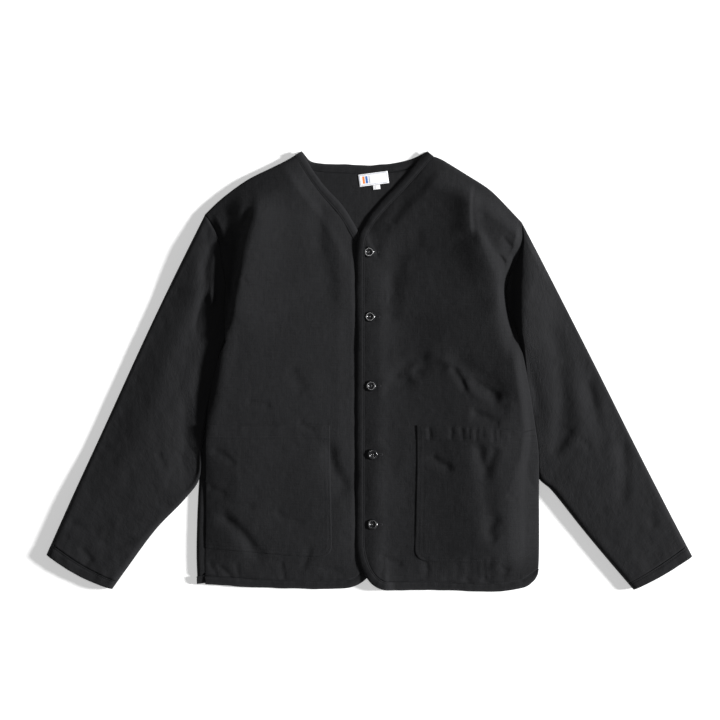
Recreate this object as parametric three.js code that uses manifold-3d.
// A padded, collarless V-neck jacket with five buttons and two patch pockets, laid flat on its back.
// Millimetres. +X is the wearer's left, +Y points to the neck, +Z is up, and the back rests on z = 0.
// Each panel is a padded wall of its own: the back lies on the ground, the two fronts lie on the back,
// the wearer's left front laps over the right one, and each sleeve is a flattened tube with open ends.
import * as THREE from "three";
import Module from "manifold-3d";
import { mergeVertices } from "three/addons/utils/BufferGeometryUtils.js";

const wasm = await Module();
wasm.setup();

// Cloth and seams
const CLOTH = 7; // shell, wadding and lining, as the back lies
const LAYER_GAP = 0.4; // between panels that lie on each other
const SEAM_GAP = 0.5; // between panels sewn edge to edge
const ARMHOLE_GAP = 1; // between a sleeve and the panels at its armhole
const SIDE_GAP = 2; // between a sleeve and the side of the body
const AIR = 2.4; // air held between the fronts and the back
const PUFF = 3.6; // extra loft of the fronts away from their seams
const SIDE_RISE = 10; // how much higher the fronts lie near their sides, on the air below them
const THINNEST = 4.5; // the least that a fold leaves of a wall

// Edges and trimmings
const BAND = { width: 13, thick: 6.4, round: 1.4, drop: 5.5, tilt: 0.35 };
const POCKET = { thick: 1.7, lift: 0.6 };
const LABEL = { x: 7, y: 298, width: 46, height: 19, thick: 0.6, turn: 7.5 };
const SIZE_TAB = { width: 11, height: 7, shift: 3 };
const BUTTON = { radius: 8.5, thick: 3.4, well: 1.1, hole: 0.85, holeSpread: 1.9 };
const BUTTONS = [
  { name: "button_1", x: 0, y: 184 },
  { name: "button_2", x: 1.5, y: 84 },
  { name: "button_3", x: 3, y: -23 },
  { name: "button_4", x: 5.4, y: -129 },
  { name: "button_5", x: 5.4, y: -237 },
];

// The cut as it lies, one entry for each half of the wearer's body.
// neckline runs from the neck point to the front edge, side from the hem to the underarm,
// armhole from the underarm to the shoulder tip, shoulder from the tip to the neck point,
// over and under are the outer and inner edges of the sleeve, from armhole to cuff, and cuffBow is how far
// the cuff's line bows out.
const LEFT = {
  sign: 1,
  edgeX: -20,
  corner: { y: -262, across: 50, down: 78 },
  neckline: [[90, 341], [48, 293], [17, 260], [-6, 231], [-17, 205], [-20, 180]],
  hem: [[100, -340], [157, -342.5], [203, -342.5], [228, -339], [246, -333.5], [257, -324.5], [262, -315.5]],
  hemEnd: [262.6, -306.5],
  side: [[263.4, -290], [263.5, -200], [262, -122], [257, -84], [249.5, -37], [240, 16]],
  backSide: [[260.5, -280], [262.5, -200], [261, -122], [256, -84], [248.5, -37], [240, 16]],
  armhole: [[240, 16], [234.5, 42], [225, 72], [215, 104], [215, 138], [229, 169], [237.4, 200], [237, 230]],
  shoulder: [[237, 230], [218.6, 249.5], [187.6, 280.5], [150, 305], [111.6, 328.6], [90, 341]],
  under: [[240, 16], [250, -37], [257.5, -84], [262.5, -122], [266, -165], [282, -184], [330, -244], [369, -291], [410, -339]],
  over: [[295, 118], [352, 6], [410, -110], [467, -222], [501, -287]],
  cuffBow: 3,
  pocket: { line: 0.329, bottom: 0.051, top: 0.352 }, // its inner edge, lower edge and top, as shares of the front
};
const RIGHT = {
  sign: -1,
  edgeX: 20,
  corner: { y: -262, across: 60, down: 76 },
  neckline: [[-104, 341], [-81, 304], [-62, 279], [-37, 250.5], [-12, 209], [10, 165], [20, 120]],
  hem: [[-107, -338.5], [-169, -336], [-215, -333], [-254, -331]],
  hemEnd: [-253.8, -318],
  side: [[-253.8, -300], [-253, -200], [-252.5, -94], [-247, -45], [-232, 20], [-222, 45]],
  backSide: [[-268, -290], [-267.5, -246], [-264.5, -177], [-259, -112], [-249, -45], [-233.5, 20], [-222, 45]],
  armhole: [[-222, 45], [-223, 90], [-223, 135], [-228, 169], [-236, 212], [-254, 243]],
  shoulder: [[-254, 243], [-231, 265], [-189, 296], [-152, 314.6], [-130, 325.5], [-104, 341]],
  under: [[-222, 45], [-234.5, 20], [-250.5, -45], [-261, -112], [-267, -168], [-285, -198], [-330, -245], [-376, -307], [-398, -338]],
  over: [[-313, 124], [-350, 46], [-401, -66], [-455, -184], [-500, -284.5]],
  cuffBow: 6,
  pocket: { line: 0.2935, bottom: 0.0595, top: 0.343 },
};
const BACK_NECK = [[-90, 326], [-52, 321.5], [0, 320], [40, 323], [64, 329]];
const BACK_HEM = [[-267, -326], [-225, -321], [-150, -316], [0, -314], [150, -318], [225, -316], [259, -306]];

// The largest folds: a ridge where rise is positive, a trough where it is negative.
// left and right are the half widths on each side of the line from start to end.
const FOLDS = [
  { name: "right front, edge of the armhole", start: [-160, 282], middle: [-186, 176], end: [-219, 30], left: 40, right: 13, rise: 6 },
  { name: "right front, beside the neckline", start: [-78, 265], middle: [-72, 190], end: [-50, 70], left: 16, right: 22, rise: -2.5 },
  { name: "right front, inner edge of the pocket", start: [-66, -95], middle: [-54, -160], end: [-34, -196], left: 9, right: 11, rise: -4.5 },
  { name: "right front, above the hem", start: [-236, -218], middle: [-196, -252], end: [-160, -300], left: 9, right: 12, rise: -3 },
  { name: "left front, edge of the armhole", start: [168, 284], middle: [163, 220], end: [206, 120], left: 10, right: 40, rise: 5 },
  { name: "left front, over the side", start: [200, 135], middle: [222, 40], end: [254, -95], left: 8, right: 36, rise: 5 },
  { name: "left front, across the chest", start: [50, 240], middle: [46, 120], end: [60, 20], left: 50, right: 26, rise: -3.6 },
  { name: "left front, above the pocket", start: [118, 26], middle: [170, -10], end: [206, -50], left: 14, right: 11, rise: -5 },
  { name: "left front, below the third button", start: [36, -24], middle: [58, 8], end: [100, 24], left: 11, right: 16, rise: -3.2 },
  { name: "left sleeve, hollow at the armhole", start: [236, 216], middle: [231, 120], end: [245, 6], left: 9, right: 16, rise: -11 },
  { name: "left sleeve, ridge beside the hollow", start: [248, 214], middle: [253, 120], end: [262, 0], left: 26, right: 10, rise: 5 },
  { name: "left sleeve, long fold", start: [270, 100], middle: [300, -32], end: [278, -144], left: 15, right: 14, rise: -4.5 },
  { name: "left sleeve, elbow", start: [334, 0], middle: [350, -70], end: [366, -140], left: 12, right: 16, rise: -3.4 },
  { name: "right sleeve, hollow at the armhole", start: [-236, 205], middle: [-235, 110], end: [-262, -120], left: 14, right: 20, rise: -10 },
  { name: "right sleeve, ridge across the hollow", start: [-238, 195], middle: [-241, 140], end: [-242, 88], left: 6, right: 6, rise: 6 },
];

const clamp01 = (t) => Math.min(1, Math.max(0, t));
const lerp = (a, b, t) => a + (b - a) * t;
const mix = (p, q, t) => [lerp(p[0], q[0], t), lerp(p[1], q[1], t)];

function smooth(from, to, value) {
  const t = clamp01((value - from) / (to - from));
  return t * t * (3 - 2 * t);
}

// A smooth curve through the rows of a table.
function through(rows) {
  return new THREE.CatmullRomCurve3(rows.map(([x, y]) => new THREE.Vector3(x, y, 0)), false, "centripetal");
}

function at(curve, t) {
  const p = curve.getPointAt(clamp01(t));
  return [p.x, p.y];
}

// How far a point is from a fold's line, which side of it, and how far along.
function foldAt(fold, x, y) {
  const steps = 16;
  let best = { far: Infinity };
  const point = (t) => mix(mix(fold.start, fold.bend, t), mix(fold.bend, fold.end, t), t);
  for (let i = 0; i < steps; i++) {
    const a = point(i / steps);
    const b = point((i + 1) / steps);
    const d = [b[0] - a[0], b[1] - a[1]];
    const share = clamp01(((x - a[0]) * d[0] + (y - a[1]) * d[1]) / (d[0] ** 2 + d[1] ** 2));
    const near = mix(a, b, share);
    const far = Math.hypot(x - near[0], y - near[1]);
    if (far < best.far) {
      const turn = d[0] * (y - near[1]) - d[1] * (x - near[0]);
      best = { far, side: turn > 0 ? "left" : "right", along: (i + share) / steps };
    }
  }
  return best;
}

for (const fold of FOLDS) {
  // The Bezier control point that takes the line through the fold's middle.
  fold.bend = [0, 1].map((k) => 2 * fold.middle[k] - (fold.start[k] + fold.end[k]) / 2);
}

// The height that the folds add at a point.
function relief(x, y) {
  let sum = 0;
  for (const fold of FOLDS) {
    const { far, side, along } = foldAt(fold, x, y);
    const fade = smooth(0, 0.22, along) * smooth(1, 0.78, along);
    sum += fold.rise * fade * Math.exp(-((far / fold[side]) ** 2));
  }
  return sum;
}

// Where the right front's edge and the left front's edge are at a height y, for the lap.
function edgeXAt(half, y) {
  const rows = half.neckline;
  const last = rows.length - 1;
  if (y <= rows[last][1]) return half.edgeX;
  const k = Math.max(0, rows.findIndex((row) => row[1] < y) - 1);
  const share = clamp01((y - rows[k][1]) / (rows[k + 1][1] - rows[k][1]));
  return lerp(rows[k][0], rows[k + 1][0], share);
}

// 0 at a panel's seams, 1 well inside it.
function inside(u, v) {
  return smooth(0, 0.16, u) * smooth(1, 0.88, u) * smooth(0, 0.1, v) * smooth(1, 0.93, v);
}

// How far a place lies past the other front's edge, and how much of a layer that one lifts it by.
// The underside drops at once, and the padding lets the top down slowly.
const past = (half, x, y) => (half.sign > 0 ? x - edgeXAt(RIGHT, y) : edgeXAt(LEFT, y) - x);
const liftUnder = (half, far) => (half.sign > 0 ? smooth(34, 15, far) : 0);
const liftTop = (half, far) => (half.sign > 0 ? smooth(85, 5, far) : 0);

// The underside and the top of a front panel, at a place in plan and on its own grid.
function frontUnder(half, x, y, u, v) {
  const far = past(half, x, y);
  const rise = SIDE_RISE * smooth(10, 200, Math.abs(x)) * (half.sign > 0 ? 1 : smooth(-300, -60, y));
  return (CLOTH + LAYER_GAP) * (1 + liftUnder(half, far)) + (AIR + rise) * inside(u, v) * smooth(2, 30, far);
}

function frontTop(half, x, y, u, v) {
  const far = past(half, x, y);
  const fill = (CLOTH + LAYER_GAP) * Math.max(0, liftTop(half, far) - liftUnder(half, far));
  const free = half.sign < 0 ? smooth(4, 24, far) : 1; // the lapped part of the right front is pressed flat
  const loft = CLOTH - 0.6 + fill + (PUFF * inside(u, v) + relief(x, y) * smooth(0, 0.05, u)) * free;
  const edge = smooth(0, 0.035, 1 - u) * 0.3 + 0.7;
  return frontUnder(half, x, y, u, v) + Math.max(THINNEST, loft * edge);
}

// A closed wall from two grids of points that share their plan: rows of tops over rows of bottoms.
// cut leaves out the first cell's corner, which rounds it.
function wall(tops, bottoms, cut = false) {
  const rows = tops.length;
  const columns = tops[0].length;
  const points = [...tops.flat(), ...bottoms.flat()];
  const top = (j, i) => j * columns + i;
  const bottom = (j, i) => rows * columns + j * columns + i;
  const faces = [];
  for (let j = 0; j + 1 < rows; j++) {
    for (let i = 0; i + 1 < columns; i++) {
      const a = [j, i];
      const b = [j, i + 1];
      const c = [j + 1, i + 1];
      const d = [j + 1, i];
      const halves = cut && i === 0 && j === 0 ? [[b, c, d]] : [[b, c, d], [a, b, d]];
      for (const [p, q, r] of halves) {
        faces.push([top(...p), top(...q), top(...r)]);
        faces.push([bottom(...r), bottom(...q), bottom(...p)]);
      }
    }
  }
  const rim = [];
  for (let i = cut ? 1 : 0; i < columns; i++) rim.push([0, i]);
  for (let j = 1; j < rows; j++) rim.push([j, columns - 1]);
  for (let i = columns - 2; i >= 0; i--) rim.push([rows - 1, i]);
  for (let j = rows - 2; j >= 1; j--) rim.push([j, 0]);
  rim.forEach((p, k) => {
    const q = rim[(k + 1) % rim.length];
    faces.push([top(...q), top(...p), bottom(...p)]);
    faces.push([top(...q), bottom(...p), bottom(...q)]);
  });
  return solid(points, faces);
}

// A geometry from points and faces, turned so that it encloses a positive volume.
function solid(points, faces) {
  let volume = 0;
  for (const [a, b, c] of faces) {
    const [p, q, r] = [points[a], points[b], points[c]];
    volume += p[0] * (q[1] * r[2] - q[2] * r[1]) - p[1] * (q[0] * r[2] - q[2] * r[0]) + p[2] * (q[0] * r[1] - q[1] * r[0]);
  }
  const geometry = new THREE.BufferGeometry();
  geometry.setAttribute("position", new THREE.Float32BufferAttribute(points.flat(), 3));
  geometry.setIndex((volume < 0 ? faces.map(([a, b, c]) => [a, c, b]) : faces).flat());
  geometry.computeVertexNormals();
  return geometry;
}

// A closed bar from a row of rings, each a loop of as many points.
function bar(rings) {
  const sides = rings[0].length;
  const faces = [];
  for (let k = 0; k + 1 < rings.length; k++) {
    for (let i = 0; i < sides; i++) {
      const a = k * sides + i;
      const b = k * sides + ((i + 1) % sides);
      faces.push([a, b, b + sides], [a, b + sides, a + sides]);
    }
  }
  for (let i = 1; i + 1 < sides; i++) {
    faces.push([0, i + 1, i]);
    const last = (rings.length - 1) * sides;
    faces.push([last, last + i, last + i + 1]);
  }
  return solid(rings.flat(), faces);
}

// A tube wall from rows of outer and inner rings, open at both ends.
function tube(outer, inner) {
  const sides = outer[0].length;
  const rows = outer.length;
  const points = [...outer.flat(), ...inner.flat()];
  const shift = rows * sides;
  const faces = [];
  for (let k = 0; k + 1 < rows; k++) {
    for (let i = 0; i < sides; i++) {
      const a = k * sides + i;
      const b = k * sides + ((i + 1) % sides);
      faces.push([a, b, b + sides], [a, b + sides, a + sides]);
      faces.push([shift + b, shift + a, shift + b + sides], [shift + a, shift + a + sides, shift + b + sides]);
    }
  }
  for (let i = 0; i < sides; i++) {
    const a = i;
    const b = (i + 1) % sides;
    const last = (rows - 1) * sides;
    faces.push([b, a, shift + a], [b, shift + a, shift + b]);
    faces.push([last + a, last + b, shift + last + a], [last + b, shift + last + b, shift + last + a]);
  }
  return solid(points, faces);
}

// The armhole seam as the same few straight stretches for front, back and sleeve.
const ARMHOLE_STEPS = 12;
function armholePoint(half, t) {
  const k = Math.min(ARMHOLE_STEPS - 1, Math.floor(clamp01(t) * ARMHOLE_STEPS));
  const share = clamp01(t) * ARMHOLE_STEPS - k;
  return mix(at(half.seam, k / ARMHOLE_STEPS), at(half.seam, (k + 1) / ARMHOLE_STEPS), share);
}

// The edge of a front, from its neck point down to the corner and along the hem to the side seam.
function frontEdge(half) {
  const { y, across, down } = half.corner;
  const centre = half.edgeX + half.sign * across;
  const path = new THREE.CurvePath();
  const turn = half.sign > 0 ? [Math.PI, 1.5 * Math.PI, false] : [0, -0.5 * Math.PI, true];
  path.add(through(half.neckline));
  path.add(new THREE.LineCurve(new THREE.Vector2(half.edgeX, half.neckline.at(-1)[1]), new THREE.Vector2(half.edgeX, y)));
  path.add(new THREE.EllipseCurve(centre, y, across, down, ...turn));
  path.add(through([[centre, y - down], ...half.hem]));
  const lengths = path.getCurveLengths();
  const corner = (lengths[1] + lengths[2]) / 2 / lengths[3];
  return { path, corner };
}

// A place on that edge, t of the way along, moved into the panel by a distance.
// The last of the hem narrows into the side seam.
function edgePoint(half, t, inwards) {
  const step = 0.002;
  const p = half.edge.path.getPoint(clamp01(t));
  const a = half.edge.path.getPoint(clamp01(t - step));
  const b = half.edge.path.getPoint(clamp01(t + step));
  const long = Math.hypot(b.x - a.x, b.y - a.y);
  const moved = [p.x - (half.sign * (b.y - a.y) * inwards) / long, p.y + (half.sign * (b.x - a.x) * inwards) / long];
  const end = [half.hemEnd[0], half.hemEnd[1] + inwards - BAND.width];
  return inwards ? mix(moved, end, smooth(0.972, 1, t)) : moved;
}

for (const half of [LEFT, RIGHT]) {
  half.seam = through(half.armhole);
  half.edge = frontEdge(half);
  half.shoulderCurve = through(half.shoulder);
  half.sideCurve = through([edgePoint(half, 1, BAND.width + SEAM_GAP), ...half.side]);
}

// A patch between four edges: first and last run along u, start and finish along v.
function patch({ first, last, start, finish }) {
  return (u, v) => {
    const corners = mix(mix(first(0), first(1), u), mix(last(0), last(1), u), v);
    const across = mix(first(u), last(u), v);
    const along = mix(start(v), finish(v), u);
    return [0, 1].map((k) => across[k] + along[k] - corners[k]);
  };
}

const HALF_WAY = 0.5; // the side seam ends and the armhole begins here, as a share of v
const ARMHOLE_ROWS = Array.from({ length: ARMHOLE_STEPS + 1 }, (_, k) => HALF_WAY + (k / ARMHOLE_STEPS) * (1 - HALF_WAY));

// The rows of a panel, with the lower edge and the top of a pocket among them.
function panelRows({ bottom, top }) {
  return [0, 0.02, bottom, 0.09, 0.14, 0.19, 0.24, 0.29, top, 0.4, 0.45, ...ARMHOLE_ROWS];
}

function sideAndArmhole(half, side) {
  return (v) => (v < HALF_WAY ? at(side, v / HALF_WAY) : armholePoint(half, (v - HALF_WAY) / (1 - HALF_WAY)));
}

function frontPlan(half) {
  const inset = BAND.width + SEAM_GAP;
  const { corner } = half.edge;
  const top = edgePoint(half, 0, inset);
  const neckShare = 0.93; // the shoulder line stops at the neck band
  return patch({
    first: (u) => edgePoint(half, lerp(corner, 1, u), inset),
    last: (u) => (u === 0 ? top : mix(top, at(half.shoulderCurve, (1 - u) * neckShare), smooth(0, 0.1, u))),
    start: (v) => edgePoint(half, lerp(corner, 0, v), inset),
    finish: sideAndArmhole(half, half.sideCurve),
  });
}

function frontColumns(half) {
  return [0, 0.11, 0.2, half.pocket.line, 0.38, 0.44, 0.52, 0.6, 0.68, 0.76, 0.84, 0.9, 0.945, 0.975, 1];
}

function frontGrid(half) {
  const plan = frontPlan(half);
  const columns = frontColumns(half);
  const rows = panelRows(half.pocket).map((v) => columns.map((u) => ({ u, v, at: plan(u, v) })));
  return rows.map((row) =>
    row.map(({ u, v, at: [x, y] }) => ({
      u,
      v,
      top: [x, y, frontTop(half, x, y, u, v)],
      under: [x, y, frontUnder(half, x, y, u, v)],
    })),
  );
}

// The height of a grid's faceted top at a place in plan.
function heightOn(grid, x, y) {
  for (let j = 0; j + 1 < grid.length; j++) {
    for (let i = 0; i + 1 < grid[0].length; i++) {
      const [a, b, c, d] = [grid[j][i], grid[j][i + 1], grid[j + 1][i + 1], grid[j + 1][i]].map((p) => p.top);
      for (const [p, q, r] of [[b, c, d], [a, b, d]]) {
        const area = (q[0] - p[0]) * (r[1] - p[1]) - (q[1] - p[1]) * (r[0] - p[0]);
        const s = ((x - p[0]) * (r[1] - p[1]) - (y - p[1]) * (r[0] - p[0])) / area;
        const t = ((q[0] - p[0]) * (y - p[1]) - (q[1] - p[1]) * (x - p[0])) / area;
        if (s >= 0 && t >= 0 && s + t <= 1) return p[2] + s * (q[2] - p[2]) + t * (r[2] - p[2]);
      }
    }
  }
  return -Infinity;
}

function front(half) {
  const grid = frontGrid(half);
  return wall(grid.map((row) => row.map((p) => p.top)), grid.map((row) => row.map((p) => p.under)));
}

// A patch pocket: a cloth of its own on the front's points, from its inner edge to the side seam.
function pocket(half) {
  const grid = frontGrid(half)
    .filter((row) => row[0].v >= half.pocket.bottom && row[0].v <= half.pocket.top)
    .map((row) => row.filter((p) => p.u >= half.pocket.line && p.u < 1));
  const raised = (by) => grid.map((row) => row.map(({ top: [x, y, z] }) => [x, y, z + by]));
  return wall(raised(POCKET.lift + POCKET.thick), raised(POCKET.lift), true);
}

// One cut through a bound edge: a rounded bar between an outer and an inner place.
function bandRing(outer, inner, outerUnder = 0, innerUnder = 0) {
  const round = BAND.round / BAND.width;
  const rows = [
    { share: 0, rise: 0.3 },
    { share: 0, rise: 0.7 },
    { share: round, rise: 0.95 },
    { share: 0.5, rise: 1 },
    { share: 1 - round, rise: 0.95 },
    { share: 1, rise: 0.75 },
    { share: 1, rise: 0 },
    { share: round, rise: 0 },
  ];
  return rows.map(({ share, rise }) => [
    ...mix(outer, inner, share),
    lerp(outerUnder, innerUnder, share) + rise * BAND.thick,
  ]);
}

// The bound edge of a front, from the neck point round the corner to the side seam.
function frontBand(half) {
  const { corner } = half.edge;
  const stations = [
    ...panelRows(half.pocket).reverse().map((v) => ({ t: lerp(corner, 0, v), u: 0, v })),
    ...frontColumns(half).slice(1).map((u) => ({ t: lerp(corner, 1, u), u, v: 0 })),
  ];
  return bar(
    stations.map(({ t, u, v }) => {
      const outer = edgePoint(half, t, 0);
      const inner = edgePoint(half, t, BAND.width);
      const under = frontUnder(half, ...inner, u, v);
      const free = 1 - liftUnder(half, past(half, ...inner));
      const drop = BAND.drop * smooth(3, 9, backHemY(inner[0]) - inner[1]) * free;
      return bandRing(outer, inner, under - drop, under - BAND.tilt * drop);
    }),
  );
}

// The back: one panel, from the right side seam to the left one, its neck between two shares of the width.
const NECK_FROM = 0.3;
const NECK_TO = 0.7;
const NECK_SHARES = [0, 0.06, 0.14, 0.26, 0.4, 0.5, 0.6, 0.74, 0.86, 0.94, 1];
const ACROSS = [0, 0.012, 0.05, 0.12, 0.19, 0.25, ...NECK_SHARES.map((t) => lerp(NECK_FROM, NECK_TO, t)), 0.75, 0.81, 0.88, 0.95, 0.988, 1];

function backPlan() {
  const hem = through(BACK_HEM.map(([x, y]) => [x, y + BAND.width + SEAM_GAP]));
  const neck = (t) => backNeckEdge(t, SEAM_GAP).inner;
  const shoulder = (half, share) => mix(at(half.shoulderCurve, share * 0.9), neck(half.sign < 0 ? 0 : 1), smooth(0.7, 1, share));
  const top = (u) => {
    if (u < NECK_FROM) return shoulder(RIGHT, u / NECK_FROM);
    if (u > NECK_TO) return shoulder(LEFT, (1 - u) / (1 - NECK_TO));
    return neck((u - NECK_FROM) / (NECK_TO - NECK_FROM));
  };
  const sideOf = (half, end) => sideAndArmhole(half, through([at(hem, end), ...half.backSide]));
  return patch({ first: (u) => at(hem, u), last: top, start: sideOf(RIGHT, 0), finish: sideOf(LEFT, 1) });
}

function backGrid() {
  const plan = backPlan();
  return panelRows(RIGHT.pocket).map((v) =>
    ACROSS.map((u) => {
      const [x, y] = plan(u, v);
      const edge = Math.min(smooth(0, 0.03, u), smooth(0, 0.03, 1 - u));
      return { top: [x, y, CLOTH * (0.72 + 0.28 * edge)], under: [x, y, 0] };
    }),
  );
}

function back() {
  const grid = backGrid();
  return wall(grid.map((row) => row.map((p) => p.top)), grid.map((row) => row.map((p) => p.under)));
}

// The back's bound neck and hem, each a bar beside the panel's edge.
function backBand(edge, shares) {
  return bar(
    shares.map((t) => {
      const { outer, inner } = edge(t);
      return bandRing(outer, inner);
    }),
  );
}

function backNeckEdge(t, gap = 0) {
  const inwards = BAND.width + gap;
  const [right, left] = [RIGHT, LEFT].map((half) => ({ neck: half.neckline[0], seam: edgePoint(half, 0, inwards) }));
  const outer = at(through([right.neck, ...BACK_NECK, left.neck]), t);
  const inner = at(through([right.seam, ...BACK_NECK.map(([x, y]) => [x, y - inwards]), left.seam]), t);
  return { outer, inner };
}

function backHemEdge(t) {
  const hem = (by) => at(through(BACK_HEM.map(([x, y]) => [x, y + by])), t);
  return { outer: hem(0), inner: hem(BAND.width) };
}

// How far down the back's hem reaches at a place across it.
function backHemY(x) {
  const k = Math.max(0, BACK_HEM.findIndex((row) => row[0] > x) - 1);
  const [from, to] = [BACK_HEM[k], BACK_HEM[k + 1]];
  return lerp(from[1], to[1], clamp01((x - from[0]) / (to[0] - from[0])));
}

// Sleeves: rings round a flattened tube, between its outer and its inner edge.
const SLEEVE = { fold: 9, loft: 24, cuffLoft: 18.5, slit: 3.2, seamTop: 15 };
const ALONG = [0, 0.015, 0.04, 0.07];
for (let k = 0; k < 18; k++) ALONG.push(0.11 + k * 0.048);
const CUFF_FROM = 0.968;
const CUFF_GAP = 0.0015;

function sleevePlan(half) {
  const outwards = (p, by) => [p[0] + half.sign * by, p[1]];
  const tip = outwards(armholePoint(half, 1), ARMHOLE_GAP);
  const pit = outwards(armholePoint(half, 0), ARMHOLE_GAP);
  const under = through(half.under.map((p, k) => (k < 5 ? outwards(p, k ? SIDE_GAP : ARMHOLE_GAP) : p)));
  const over = through([tip, ...half.over]);
  return (w, s) => {
    const seam = outwards(armholePoint(half, 1 - w), ARMHOLE_GAP);
    const chord = mix(tip, pit, w);
    const fade = (1 - s) ** 5; // the armhole's curve dies away soon along the sleeve
    const bow = -half.cuffBow * Math.sin(Math.PI * w) * s ** 4; // and the cuff's grows towards it
    return mix(at(over, s), at(under, s), w).map((c, k) => c + (seam[k] - chord[k]) * fade + (k ? bow : 0));
  };
}

function sleeveRing(half, plan, s, grow) {
  const shares = [];
  for (let k = 1; k < ARMHOLE_STEPS; k++) shares.push(k / ARMHOLE_STEPS);
  const edges = [plan(0, s), plan(1, s)];
  const width = Math.hypot(edges[1][0] - edges[0][0], edges[1][1] - edges[0][1]);
  const near = [0.18, 0.6].map((part) => (part * SLEEVE.fold) / width);
  const across = [0, ...near, ...shares, ...near.map((n) => 1 - n).reverse(), 1];
  const full = lerp(SLEEVE.loft, SLEEVE.cuffLoft, smooth(0.1, 1, s));
  const open = smooth(0, 0.1, s);
  const place = (w, inset) => {
    const d = Math.min(w, 1 - w) * width;
    const round = Math.sqrt(Math.max(0, 1 - (1 - Math.min(1, d / SLEEVE.fold)) ** 2));
    const [x, y] = plan(w, s);
    const crown = smooth(0, 0.38, Math.min(w, 1 - w)) * (full - 2 * SLEEVE.fold) * open;
    const seam = lerp(SLEEVE.seamTop - 2 * SLEEVE.fold, 0, open);
    const folds = relief(x, y) * smooth(0, 22, d) * (1 - smooth(0.88, 0.96, s));
    const top = Math.max(SLEEVE.fold * (1 + round) + (crown + seam) * round + folds, SLEEVE.fold + (2 + THINNEST) * round);
    const bottom = SLEEVE.fold * (1 - round);
    return { x, y, top: top + grow * round, bottom, inset };
  };
  const outerTop = across.map((w) => place(w));
  const inner = across.map((w) => {
    const pulled = lerp(CLOTH / width, 1 - CLOTH / width, w);
    const p = place(pulled);
    const share = smooth(0, 0.08, Math.min(w, 1 - w));
    const floor = CLOTH + 0.4;
    return { x: p.x, y: p.y, bottom: floor, top: floor + 0.8 + share * Math.min(SLEEVE.slit, Math.max(0, p.top - THINNEST - floor - 0.8)) };
  });
  const ring = (side) => [
    ...side.map((p, k) => [p.x, p.y, k === 0 || k === side.length - 1 ? (p.top + p.bottom) / 2 : p.top]),
    ...side.slice(1, -1).reverse().map((p) => [p.x, p.y, p.bottom]),
  ];
  return { outer: ring(outerTop), inner: ring(inner) };
}

function sleevePart(half, along, grow) {
  const plan = (w, s) => half.sleeve(w, s);
  const rings = along.map((s) => sleeveRing(half, plan, s, grow));
  return tube(rings.map((r) => r.outer), rings.map((r) => r.inner));
}

for (const half of [LEFT, RIGHT]) half.sleeve = sleevePlan(half);

// A four-hole button with a raised rim round a shallow well.
function button() {
  const { radius, thick, well } = BUTTON;
  const profile = [
    [0, 0],
    [radius * 0.72, 0],
    [radius, thick * 0.45],
    [radius, thick * 0.7],
    [radius * 0.82, thick],
    [radius * 0.6, thick],
    [radius * 0.5, thick - well],
    [0, thick - well],
  ];
  const disc = new THREE.LatheGeometry(profile.map(([x, y]) => new THREE.Vector2(x, y)), 14).rotateX(Math.PI / 2);
  let made = manifold(disc);
  for (let k = 0; k < 4; k++) {
    const turn = (k + 0.5) * (Math.PI / 2);
    const hole = new THREE.CylinderGeometry(BUTTON.hole, BUTTON.hole, 3 * thick, 5).rotateX(Math.PI / 2);
    hole.translate(BUTTON.holeSpread * Math.cos(turn), BUTTON.holeSpread * Math.sin(turn), 0);
    made = made.subtract(manifold(hole));
  }
  return fromManifold(made);
}

function manifold(geometry) {
  const bare = geometry.clone();
  bare.deleteAttribute("normal");
  bare.deleteAttribute("uv");
  const merged = mergeVertices(bare, 1e-4);
  return new wasm.Manifold(
    new wasm.Mesh({
      numProp: 3,
      vertProperties: merged.attributes.position.array,
      triVerts: new Uint32Array(merged.index.array),
    }),
  );
}

function fromManifold(made) {
  const mesh = made.getMesh();
  const geometry = new THREE.BufferGeometry();
  geometry.setAttribute("position", new THREE.BufferAttribute(mesh.vertProperties, 3));
  geometry.setIndex(new THREE.BufferAttribute(mesh.triVerts, 1));
  geometry.computeVertexNormals();
  return geometry;
}

// Materials
const cloth = new THREE.MeshStandardMaterial({ color: 0x29292b, roughness: 0.86, metalness: 0 });
const binding = new THREE.MeshStandardMaterial({ color: 0x2d2d30, roughness: 0.82, metalness: 0 });
const shine = new THREE.MeshStandardMaterial({ color: 0x121214, roughness: 0.22, metalness: 0 });
const woven = new THREE.MeshStandardMaterial({ color: 0xf0f0f4, roughness: 0.7, metalness: 0 });

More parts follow.
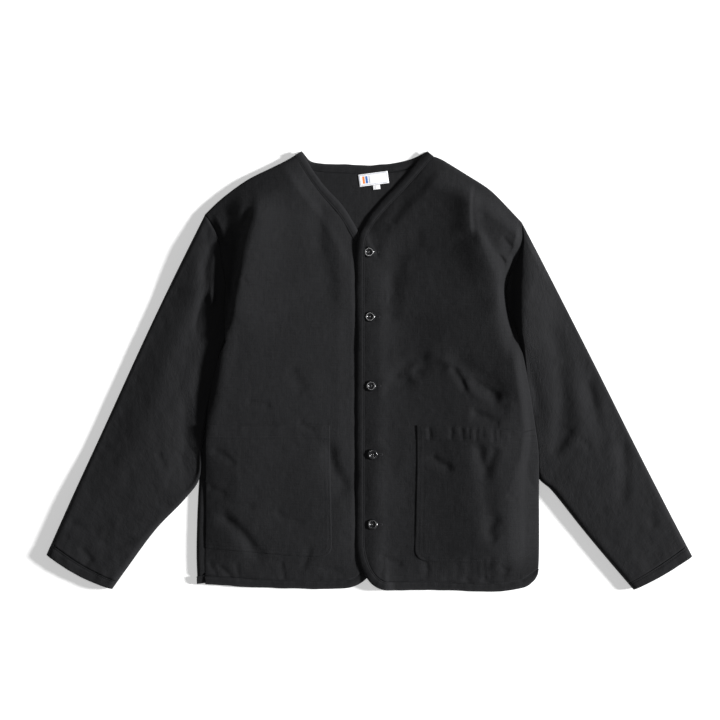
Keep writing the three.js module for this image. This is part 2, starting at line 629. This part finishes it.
const jacket = new THREE.Group();
function add(name, geometry, material) {
  const mesh = new THREE.Mesh(geometry, material);
  mesh.name = name;
  jacket.add(mesh);
  return mesh;
}

// Panels
add("back", back(), cloth);
add("front_left", front(LEFT), cloth);
add("front_right", front(RIGHT), cloth);
add("sleeve_left", sleevePart(LEFT, [...ALONG, CUFF_FROM - CUFF_GAP], 0), cloth);
add("sleeve_right", sleevePart(RIGHT, [...ALONG, CUFF_FROM - CUFF_GAP], 0), cloth);

// Bound edges
add("binding_front_left", frontBand(LEFT), binding);
add("binding_front_right", frontBand(RIGHT), binding);
add("binding_back_neck", backBand(backNeckEdge, NECK_SHARES), binding);
add("binding_back_hem", backBand(backHemEdge, ACROSS), binding);
add("cuff_left", sleevePart(LEFT, [CUFF_FROM, 0.984, 1], 0.5), binding);
add("cuff_right", sleevePart(RIGHT, [CUFF_FROM, 0.984, 1], 0.5), binding);

// Patch pockets
add("pocket_left", pocket(LEFT), cloth);
add("pocket_right", pocket(RIGHT), cloth);

// Buttons, each flat on the lapped front
const leftGrid = frontGrid(LEFT);
for (const { name, x, y } of BUTTONS) {
  const around = [0, 1, 2, 3, 4, 5, 6, 7].map((k) => (k * Math.PI) / 4);
  const heights = around.map((a) => heightOn(leftGrid, x + BUTTON.radius * Math.cos(a), y + BUTTON.radius * Math.sin(a)));
  const mesh = add(name, button(), shine);
  mesh.position.set(x, y, Math.max(heightOn(leftGrid, x, y), ...heights) + LAYER_GAP);
}

// The woven label inside the back neck, and the size tab below it
const label = new THREE.Group();
label.position.set(LABEL.x, LABEL.y, CLOTH + LAYER_GAP);
label.rotation.z = THREE.MathUtils.degToRad(LABEL.turn);
const labelMesh = add("label", new THREE.BoxGeometry(LABEL.width, LABEL.height, LABEL.thick), woven);
labelMesh.position.set(0, 0, LABEL.thick / 2);
const tab = add("size_tab", new THREE.BoxGeometry(SIZE_TAB.width, SIZE_TAB.height, LABEL.thick), woven);
tab.position.set(SIZE_TAB.shift, -LABEL.height / 2 - SIZE_TAB.height / 2 - LAYER_GAP, LABEL.thick / 2);
label.add(labelMesh, tab);
jacket.add(label);

export default jacket;
